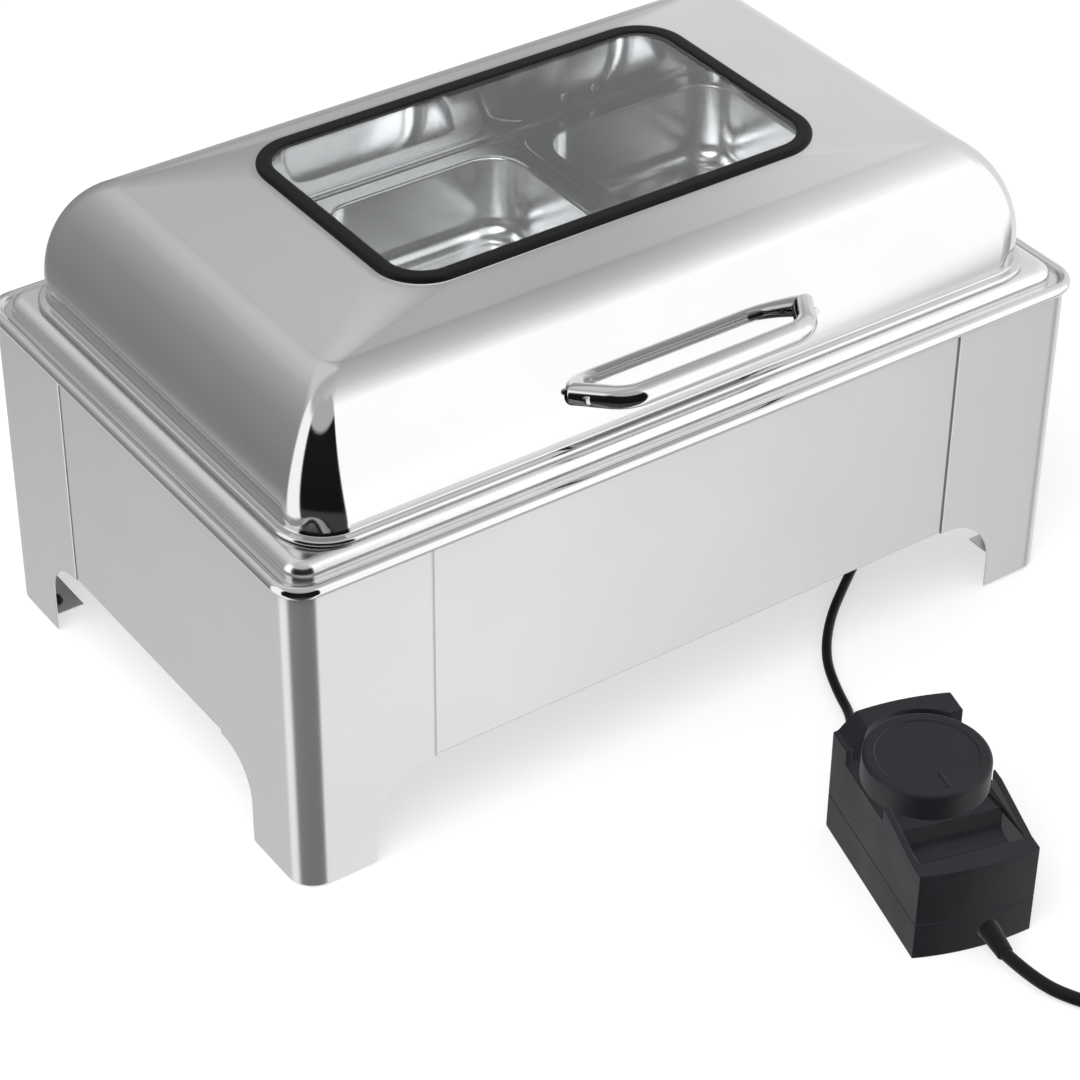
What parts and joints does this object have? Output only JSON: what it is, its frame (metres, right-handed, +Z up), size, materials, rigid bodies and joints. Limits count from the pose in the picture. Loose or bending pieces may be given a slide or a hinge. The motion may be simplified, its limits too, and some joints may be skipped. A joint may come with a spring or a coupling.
{
  "type": "electric food warmer tray",
  "caption": "Electric countertop food warmer with a hinged domed lid and window, lift-out food pans over a heated water pan, and an in-line dial temperature controller.",
  "frame": {"origin": "on the table under the middle of the warmer, measured without the cords and the controller", "axes": "+X along the warmer to the right, -Y to the front where the lid's handle is, +Z up"},
  "size_m": [0.588, 0.7889, 0.3295],
  "materials": {
    "stand_steel": "satin brushed stainless steel",
    "polished_steel": "mirror polished stainless steel",
    "pan_steel": "bright satin stainless steel",
    "fastener_steel": "plain bright steel",
    "element_steel": "dark annealed steel sheath",
    "heater_aluminium": "as cast",
    "window_rubber": "smooth black",
    "foot_rubber": "matt black",
    "window_glass": "clear tempered glass",
    "cord_rubber": "satin black",
    "controller_plastic": "fine textured black",
    "plug_plastic": "satin black",
    "plug_brass": "nickel plated",
    "inner_plastic": "plain off-white",
    "board_green": "coated circuit board",
    "wire_insulation": "glass braid",
    "fibre_board": "pressed ceramic fibre",
    "ceramic": "glazed off-white"
  },
  "bodies": {
    "stand": {"back_panel": "stand_steel", "bracket_nuts": "fastener_steel", "bracket_screws": "fastener_steel", "circuit_board": "board_green", "controller_base": "controller_plastic", "controller_cover": "controller_plastic", "controller_screws": "fastener_steel", "cord_clamps": "inner_plastic", "cord_tails": "cord_rubber", "cord_tie": "cord_rubber", "element_clamps": "fastener_steel", "front_panel": "stand_steel", "heat_sink": "heater_aluminium", "heater_cord": "cord_rubber", "heater_cord_boot": "cord_rubber", "heater_cover": "fastener_steel", "heater_gland": "cord_rubber", "heater_plate": "heater_aluminium", "heater_wiring": "wire_insulation", "heating_element": "element_steel", "hinge_bracket_left": "polished_steel", "hinge_bracket_right": "polished_steel", "hinge_pin_left": "fastener_steel", "hinge_pin_right": "fastener_steel", "insulation_pad": "fibre_board", "left_panel": "stand_steel", "leg_back_left": "stand_steel", "leg_back_right": "stand_steel", "leg_front_left": "stand_steel", "leg_front_right": "stand_steel", "mains_cord": "cord_rubber", "mains_cord_boot": "cord_rubber", "mains_cord_coil": "cord_rubber", "mains_cord_tail": "cord_rubber", "plug_blades": "plug_brass", "plug_body": "plug_plastic", "regulator": "inner_plastic", "right_panel": "stand_steel", "rubber_feet": "foot_rubber", "stud_nuts": "fastener_steel", "stud_spacers": "fastener_steel", "terminal_block": "ceramic", "thermal_cutout": "ceramic", "top_rim": "polished_steel", "water_pan": "pan_steel", "weld_studs": "fastener_steel"},
    "lid": {"lid_shell": "polished_steel", "window_gasket": "window_rubber", "window_glass": "window_glass", "lid_handle": "polished_steel", "handle_screws": "fastener_steel", "arm_rivets": "fastener_steel", "hinge_arm_left": "polished_steel", "hinge_arm_right": "polished_steel"},
    "food_pan_left": {"food_pan_1": "pan_steel"},
    "food_pan_middle": {"food_pan_2": "pan_steel"},
    "food_pan_right": {"food_pan_3": "pan_steel"},
    "dial": {"controller_dial": "controller_plastic", "dial_shaft": "inner_plastic"}
  },
  "joints": [
    {"name": "lid_hinge", "type": "hinge", "parent": "stand", "child": "lid", "pos_m": [0, 0.18794, 0.2403], "axis": [-1, 0, 0], "range_deg": [0, 90]},
    {"name": "food_pan_left_lift", "type": "slide", "parent": "stand", "child": "food_pan_left", "axis": [0, 0, 1], "range_m": [0, 0.02]},
    {"name": "food_pan_middle_lift", "type": "slide", "parent": "stand", "child": "food_pan_middle", "axis": [0, 0, 1], "range_m": [0, 0.02]},
    {"name": "food_pan_right_lift", "type": "slide", "parent": "stand", "child": "food_pan_right", "axis": [0, 0, 1], "range_m": [0, 0.02]},
    {"name": "dial_turn", "type": "hinge", "parent": "stand", "child": "dial", "pos_m": [0.03059, -0.35993, 0.0643], "axis": [0, 0, -1], "range_deg": [0, 270]}
  ]
}
